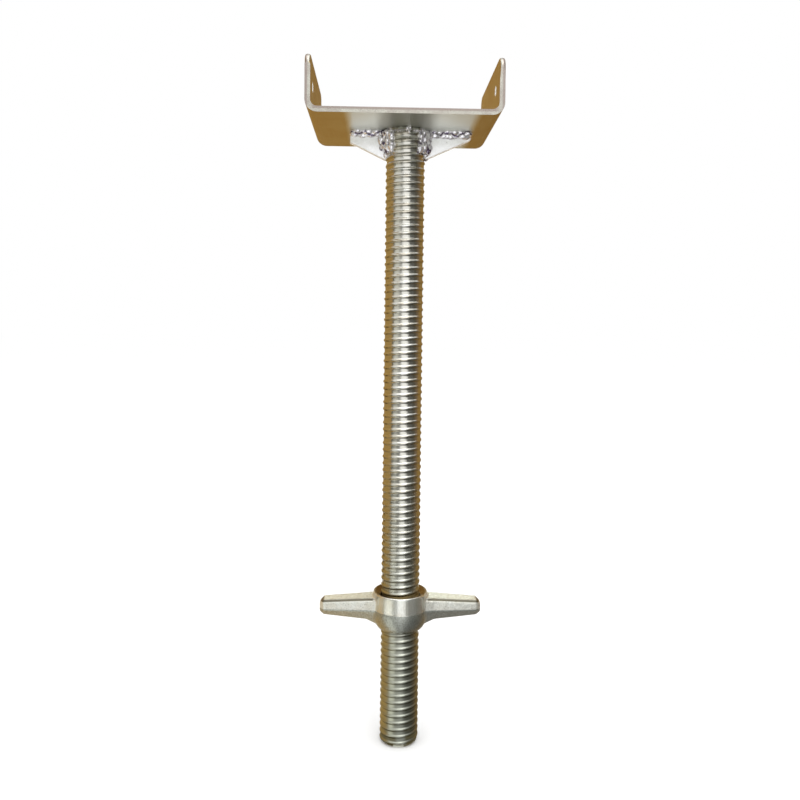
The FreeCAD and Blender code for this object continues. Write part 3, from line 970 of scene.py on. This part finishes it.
class JACK_OT_welds(Operator):
    """Lay the weld beads as runs of lumps and melt each run into one bead"""

    bl_idname = "jack.welds"
    bl_label = "Weld beads"

    def run(self, places, radius, stretch, sizes, draw):
        """Lumps of uneven size along a run."""
        for place in places:
            uneven = 1 + sizes.spread * draw.uniform(-1, 1)
            strayed = [value + STRAY * radius * draw.uniform(-1, 1) for value in place]
            lump = start(
                bpy.ops.mesh.primitive_ico_sphere_add,
                "lump",
                subdivisions=2,
                radius=radius * uneven,
                location=strayed,
            )
            bpy.ops.transform.resize(value=stretch)
            yield lump

    def melt(self, lumps, name, sizes, finish):
        """One closed bead from overlapping lumps."""
        bpy.ops.object.select_all(action="DESELECT")
        for lump in lumps:
            lump.select_set(True)
        bpy.context.view_layer.objects.active = lumps[0]
        settle()
        bpy.ops.object.join()
        bead = rename(bpy.context.object, name)
        finish_with(bead, "REMESH", mode="VOXEL", voxel_size=sizes.voxel)
        finish_with(bead, "SMOOTH", factor=0.5, iterations=6)
        smooth(bead, 180)
        dress(bead, finish)
        return bead

    def plate_run(self, node, face, sizes):
        """Places along the corner of a gusset and the head."""
        low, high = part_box(node)
        gusset_low, gusset_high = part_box(node.replace("plate_bead", "gusset"))
        wall = gusset_high.y if face > 0 else gusset_low.y
        margin = 1.4 * sizes.plate_lump
        step = 0.8 * sizes.plate_lump
        count = round((high.x - low.x - 2 * margin) / step)
        for out, drop in ROWS:
            for lump in range(count + 1):
                x = low.x + margin + lump * step
                y = wall + face * out * sizes.plate_lump
                yield Vector((x, y, PLATE_LOW.z - drop * sizes.plate_lump))

    def stem_run(self, node, face, sizes):
        """Places down the corner of a gusset and the stem."""
        low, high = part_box(node)
        side = math.copysign(1, low.x + high.x)
        top = high.z - sizes.stem_lump
        for degrees, out, rise in STRANDS:
            turn = math.radians(degrees)
            strand = Vector((side * math.cos(turn), face * math.sin(turn), 0)) * (CREST_RADIUS + out)
            bottom = low.z + rise
            count = math.ceil((top - bottom) / sizes.stem_lump)
            for lump in range(count + 1):
                yield strand + Vector((0, 0, bottom + (top - bottom) * lump / count))

    def ring_run(self, face, sizes):
        """Places round the stem where it meets the head."""
        radius = CREST_RADIUS + 0.1 * sizes.ring_lump
        step, drop = 0.5 * sizes.ring_lump, 0.4 * sizes.ring_lump
        reach = math.radians(50)
        count = round(2 * reach * radius / step)
        for lump in range(count + 1):
            turn = face * (math.radians(90) - reach + 2 * reach * lump / count)
            place = Vector((math.cos(turn), math.sin(turn), 0)) * radius
            yield place + Vector((0, 0, PLATE_LOW.z - drop))

    def execute(self, context):
        sizes = context.scene.jack_welds
        finishes = context.scene.jack_finishes
        level = weld_finish("level_weld", finishes, sizes, burnt_line)
        upright = weld_finish("upright_weld", finishes, sizes, burnt_patches)
        draw = random.Random(sizes.seed)
        for name in SIDES:
            for kind, places, radius, stretch, finish in (
                ("plate_bead", self.plate_run, sizes.plate_lump, PLATE_STRETCH, level),
                ("stem_bead", self.stem_run, sizes.stem_lump, STEM_STRETCH, upright),
            ):
                node = f"{kind}_{name}"
                lumps = []
                for face in FACES.values():
                    lumps += self.run(places(node, face, sizes), radius, stretch, sizes, draw)
                bead = self.melt(lumps, f"{node}_run", sizes, finish)
                place_on(bead, "jack", "weld_metal", node)
        lumps = []
        for face in FACES.values():
            lumps += self.run(self.ring_run(face, sizes), sizes.ring_lump, RING_STRETCH, sizes, draw)
        drip_y = -CREST_RADIUS - 1.1 * sizes.drip
        drip = Vector((sizes.drip_x, drip_y, PLATE_LOW.z - DRIP_STRETCH[2] * sizes.drip))
        lumps += self.run([drip], sizes.drip, DRIP_STRETCH, sizes, draw)
        bead = self.melt(lumps, "stem_weld_run", sizes, upright)
        place_on(bead, "jack", "weld_metal", "stem_weld")
        return {"FINISHED"}


class JACK_OT_nut(Operator):
    """Cast the wing nut: rounded edges, a mould seam round the wings and sandy faces"""

    bl_idname = "jack.nut"
    bl_label = "Wing nut"

    def seam_cutter(self, side, sizes):
        """A thin U that lies round one wing and cuts the mould seam."""
        rim = 2 * MM
        reach = NUT_HIGH.x + 2 * rim
        wide = sizes.root_depth + 4 * rim
        tip = NUT_HIGH.x - 1.5 * sizes.seam_depth
        level = NUT_LOW.z + sizes.root_top - sizes.seam_drop - sizes.seam_width / 2
        middle = (sizes.seam_x + reach) / 2
        centre = (side * middle, 0, level)
        cutter = start(bpy.ops.mesh.primitive_plane_add, "seam_cutter", size=1, location=centre)
        bpy.ops.transform.resize(value=(reach - sizes.seam_x, wide, 1))
        settle()
        edit(cutter)
        bpy.ops.mesh.inset(thickness=rim)
        root_end = (sizes.seam_x + rim, sizes.seam_x, sizes.root_depth)
        tip_end = (reach - rim, tip, sizes.tip_depth)
        for end, x, depth in (root_end, tip_end):
            for face in FACES.values():
                old_y = face * (wide / 2 - rim)
                pick_corners(lambda place: near(place.x, side * end) and near(place.y, old_y))
                shift((side * (x - end), face * (depth / 2 - sizes.seam_depth) - old_y, 0))

        def over_wing(face):
            centre = face.calc_center_median()
            return near(centre.y, 0) and abs(centre.x) < tip

        pick("FACE", over_wing)
        bpy.ops.mesh.delete(type="FACE")
        bpy.ops.mesh.select_all(action="SELECT")
        extrude((0, 0, sizes.seam_width))
        pick_corners(lambda place: abs(place.x) > middle)
        shift((0, 0, sizes.tip_top - sizes.root_top))
        close_up()
        leave_edit()
        return cutter

    def cast_group(self, nut, sizes):
        """The cast faces, outside the turned band and the bore."""
        foot = NUT_LOW.z + sizes.band_foot
        bore = CREST_RADIUS + 1.5 * MM

        def cast(place):
            from_axis = math.hypot(place.x, place.y)
            wing = abs(place.x) > sizes.blend_x and from_axis > sizes.mouth + 0.5 * MM
            return wing or from_axis > bore and place.z < foot

        group = nut.vertex_groups.new(name="cast_faces")
        edit(nut)
        pick_corners(cast)
        bpy.ops.object.vertex_group_assign()
        leave_edit()
        return group.name

    def execute(self, context):
        sizes = context.scene.jack_nut
        nut = bpy.data.objects.new("cast_wing_nut", frame["nodes"]["wing_nut"].data.copy())
        context.scene.collection.objects.link(nut)
        nut.data.name = nut.name
        edit(nut)
        bpy.ops.mesh.remove_doubles(threshold=DOUBLES)
        leave_edit()
        for side in SIDES.values():
            combine(nut, self.seam_cutter(side, sizes), "DIFFERENCE")
        finish_with(nut, "REMESH", mode="VOXEL", voxel_size=sizes.voxel)
        finish_with(nut, "SMOOTH", factor=0.5, iterations=sizes.turning)
        cast = self.cast_group(nut, sizes)
        finish_with(nut, "SMOOTH", factor=0.5, iterations=sizes.rounding, vertex_group=cast)
        pits = bpy.data.textures.new("sand_pits", "CLOUDS")
        pits.noise_scale = sizes.pit
        finish_with(
            nut,
            "DISPLACE",
            texture=pits,
            texture_coords="LOCAL",
            strength=sizes.pit_depth,
            mid_level=0.6,
            vertex_group=cast,
        )
        smooth(nut, 180)
        dress(nut, nut_finish(context.scene.jack_finishes, sizes))
        place_on(nut, "nut", "nut_casting", "wing_nut")
        return {"FINISHED"}


# A reflector card of the tent: its span in degrees right of the camera's side, where it starts and ends on
# the floor and the heights of its wall in metres, its light, and the share of that light at the stem's foot
Card = namedtuple("Card", "name start end near far low top colour strength foot")
# Where the cards start round the stem's foot, where the foot's glint ends, the ring of floor that the nut's
# band reflects, the tent's radius, and the heights of its low and its tall walls
FOOT, GLINT = 34 * MM, 20 * MM
RING_IN, RING_OUT = 0.46, 0.60
TENT, LOW, TALL = 1.7, 0.15, 2.2
CARDS = (
    Card("foot_shade", 0, 360, 2 * MM, 2 * FOOT, 0, 0, (1.0, 0.80, 0.42), 0.20, 1.0),
    Card("foot_glint", -20, 16, 2 * MM, GLINT, 0, 0, (1.0, 0.98, 0.94), 1.2, 1.0),
    Card("window", -13, 28, GLINT, TENT, 0, TALL, (1.0, 1.0, 1.0), 1.3, 0.35),
    Card("window_edge", 19, 28, FOOT, TENT, 0, LOW, (1.0, 1.0, 0.94), 0.35, 0.5),
    Card("right_flag", 28, 62, FOOT, TENT, 0, 1.2, (1.0, 1.0, 0.92), 0.14, 0.5),
    Card("right_shade", 62, 84, FOOT, TENT, 0, TALL, (1.0, 0.92, 0.70), 0.11, 0.5),
    Card("right_side", 84, 106, FOOT, TENT, 0, 1.6, (1.0, 0.72, 0.46), 0.21, 0.5),
    Card("right_wall", 106, 180, FOOT, TENT, 0, TALL, (1.0, 0.62, 0.20), 0.34, 0.6),
    Card("left_wall", 180, 286, FOOT, TENT, 0, TALL, (1.0, 0.64, 0.21), 0.45, 1.35),
    Card("back_floor", 148, 212, FOOT, 0.55, 0, 0, (1.0, 1.0, 0.95), 0.9, 1.0),
    Card("left_dark", 212, 240, TENT, TENT, 0.02, 1.0, (1.0, 0.55, 0.16), 0.18, 1.0),
    Card("left_notch", 212, 234, 0.42, 0.9, 0, 0, (1.0, 0.50, 0.14), 0.07, 1.0),
    Card("left_flag", 286, 297, FOOT, TENT, 0, 0.9, (1.0, 1.0, 0.80), 0.11, 1.6),
    Card("left_strip", 297, 329, FOOT, TENT, 0, 0.9, (1.0, 0.99, 0.90), 0.80, 1.5),
    Card("left_gap", 329, 347, FOOT, TENT, 0, 0.9, (1.0, 1.0, 0.95), 0.45, 0.7),
    Card("left_foot", 284, 304, FOOT, 60 * MM, 0, 0, (1.0, 0.70, 0.30), 0.35, 1.0),
    Card("low_flag", 298, 307, RING_OUT, TENT, 0, LOW, (1.0, 1.0, 0.88), 0.16, 1.0),
    Card("low_strip", 307, 326, RING_OUT, TENT, 0, LOW, (1.0, 1.0, 0.92), 0.40, 1.0),
    Card("low_gap", 326, 347, RING_OUT, TENT, 0, LOW, (1.0, 1.0, 0.95), 0.22, 1.0),
    Card("band_strip", 292, 322, RING_IN, RING_OUT, 0, 0, (1.0, 1.0, 0.92), 1.6, 1.0),
    Card("band_side", 250, 292, RING_IN, RING_OUT, 0, 0, (0.94, 1.0, 0.90), 0.55, 1.0),
    Card("band_shade", 28, 60, RING_IN, RING_OUT, 0, 0, (1.0, 1.0, 0.94), 0.24, 1.0),
    Card("band_dark", 62, 104, RING_IN, RING_OUT, 0, 0, (1.0, 0.97, 0.80), 0.10, 1.0),
    Card("back_pale", 168, 191, TENT, TENT, 0.58, 0.96, (0.92, 1.0, 0.92), 3.7, 1.0),
)
# Gap from each card to the one that lies over it
CARD_GAP = 0.2 * MM
# A lamp's place, width and depth, in metres
Lamp = namedtuple("Lamp", "place width depth")
LAMPS = {
    "front_lamp": Lamp((0.25, -1.5, 1.9), 0.9, 0.7),
    "top_lamp": Lamp((0, -0.5, 2.4), 2.0, 1.6),
}


class JACK_OT_studio(Operator):
    """Set up the floor, the reflector tent, the lamps and the camera"""

    bl_idname = "jack.studio"
    bl_label = "Studio"

    def floor(self, settings):
        """A plain pale floor under the stem."""
        place = (0, 0, STEM_LOW.z)
        made = start(bpy.ops.mesh.primitive_plane_add, "floor", size=settings.floor_size, location=place)
        settle()
        paint = bpy.data.materials.new("pale_floor")
        paint.use_nodes = True
        shader = paint.node_tree.nodes["Principled BSDF"]
        shader.inputs["Base Color"].default_value = (1, 1, 1, 1)
        shader.inputs["Roughness"].default_value = 0.9
        shader.inputs["Specular IOR Level"].default_value = 0.0
        dress(made, paint)
        made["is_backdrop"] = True

    def world(self, scene):
        """White all round."""
        made = bpy.data.worlds.new("white_room")
        made.use_nodes = True
        background = made.node_tree.nodes["Background"]
        background.inputs["Color"].default_value = (1, 1, 1, 1)
        background.inputs["Strength"].default_value = 1.0
        scene.world = made

    def card(self, order, plan, settings):
        """A card on the floor that may turn up as a wall, or a wall alone, seen only in the metal."""
        lift = (order + 1) * CARD_GAP
        radius = plan.far - lift
        foot = STEM_LOW.z + plan.low + lift
        first = math.radians(plan.start - 90)
        out = Vector((math.cos(first), math.sin(first), 0))
        inner = min(plan.near, radius)
        made = start_point(f"card_{plan.name}", out * inner + Vector((0, 0, foot)))
        if inner < radius:
            extrude(out * (radius - inner))
        if plan.top > plan.low:
            extrude((0, 0, plan.top - plan.low))
        bpy.ops.mesh.select_all(action="SELECT")
        bpy.ops.mesh.spin(
            steps=12, angle=math.radians(plan.start - plan.end), center=(0, 0, 0), axis=(0, 0, 1)
        )
        leave_edit()
        paper = bpy.data.materials.new(f"card_{plan.name}")
        paper.use_nodes = True
        tree = paper.node_tree
        glow = tree.nodes.new("ShaderNodeEmission")
        glow.inputs["Color"].default_value = (*plan.colour, 1)
        light = remap(
            tree, radius_from_axis(tree), FOOT, settings.fade, plan.strength * plan.foot, plan.strength
        )
        tree.links.new(light, glow.inputs["Strength"])
        tree.links.new(glow.outputs[0], tree.nodes["Material Output"].inputs["Surface"])
        dress(made, paper)
        for ray in ("camera", "diffuse", "transmission", "volume_scatter", "shadow"):
            setattr(made, f"visible_{ray}", False)
        made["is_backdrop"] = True

    def lamp(self, name, plan, power):
        """A soft lamp that points at the middle of the stem."""
        light = bpy.data.lights.new(name, "AREA")
        light.shape = "RECTANGLE"
        light.size = plan.width
        light.size_y = plan.depth
        light.energy = power
        made = bpy.data.objects.new(name, light)
        made.location = plan.place
        aim = (STEM_LOW + STEM_HIGH) / 2 - made.location
        made.rotation_euler = aim.to_track_quat("-Z", "Y").to_euler()
        bpy.context.scene.collection.objects.link(made)

    def camera(self, scene, settings):
        """The photograph's camera."""
        lens = bpy.data.cameras.new("camera")
        lens.lens = settings.lens
        lens.sensor_width = 36
        lens.shift_y = settings.shift
        made = bpy.data.objects.new("camera", lens)
        yaw, pitch, roll = settings.yaw, settings.pitch, settings.roll
        ahead = Vector((math.sin(yaw) * math.cos(pitch), math.cos(yaw) * math.cos(pitch), math.sin(pitch)))
        level = ahead.cross(Vector((0, 0, 1))).normalized()
        above = level.cross(ahead)
        right = math.cos(roll) * level + math.sin(roll) * above
        up = math.cos(roll) * above - math.sin(roll) * level
        turn = Matrix((right, up, -ahead)).transposed()
        made.matrix_world = Matrix.Translation(settings.camera) @ turn.to_4x4()
        scene.collection.objects.link(made)
        scene.camera = made

    def execute(self, context):
        settings = context.scene.jack_studio
        self.world(context.scene)
        self.floor(settings)
        for order, plan in enumerate(CARDS):
            self.card(order, plan, settings)
        for name, plan in LAMPS.items():
            self.lamp(name, plan, getattr(settings, name))
        self.camera(context.scene, settings)
        context.scene.view_settings.view_transform = "Standard"
        return {"FINISHED"}


OPERATORS = (JACK_OT_stem, JACK_OT_head, JACK_OT_gussets, JACK_OT_welds, JACK_OT_nut, JACK_OT_studio)
SETTINGS = {
    "jack_stem": StemSizes,
    "jack_head": HeadSizes,
    "jack_gussets": GussetSizes,
    "jack_welds": WeldSizes,
    "jack_nut": NutSizes,
    "jack_finishes": Finishes,
    "jack_studio": StudioSettings,
}


class JACK_PT_sidebar(Panel):
    """Lists the jack's pieces and sizes"""

    bl_idname = "JACK_PT_sidebar"
    bl_label = "U-head jack"
    bl_space_type = "VIEW_3D"
    bl_region_type = "UI"
    bl_category = "Jack"

    def draw(self, context):
        for operator in OPERATORS:
            self.layout.operator(operator.bl_idname)
        for name, group in SETTINGS.items():
            box = self.layout.box()
            box.label(text=group.__doc__.rstrip("."))
            for field in group.__annotations__:
                box.prop(getattr(context.scene, name), field)


CLASSES = (*SETTINGS.values(), *OPERATORS, JACK_PT_sidebar)


def register():
    """Add the panel, the operators and their sizes."""
    for item in CLASSES:
        bpy.utils.register_class(item)
    for name, group in SETTINGS.items():
        setattr(bpy.types.Scene, name, PointerProperty(type=group))


def unregister():
    """Take them away again."""
    for name in SETTINGS:
        delattr(bpy.types.Scene, name)
    for item in reversed(CLASSES):
        bpy.utils.unregister_class(item)


def main():
    """Model the jack, set up its studio and measure its boxes."""
    register()
    bpy.ops.jack.stem()
    bpy.ops.jack.head()
    bpy.ops.jack.gussets()
    bpy.ops.jack.welds()
    bpy.ops.jack.nut()
    bpy.ops.jack.studio()
    boxes = {"cad": CAD_BOX, "visual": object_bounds()}
    {name: [list(corner) for corner in box] for name, box in boxes.items()}


if __name__ == "__main__":
    main()
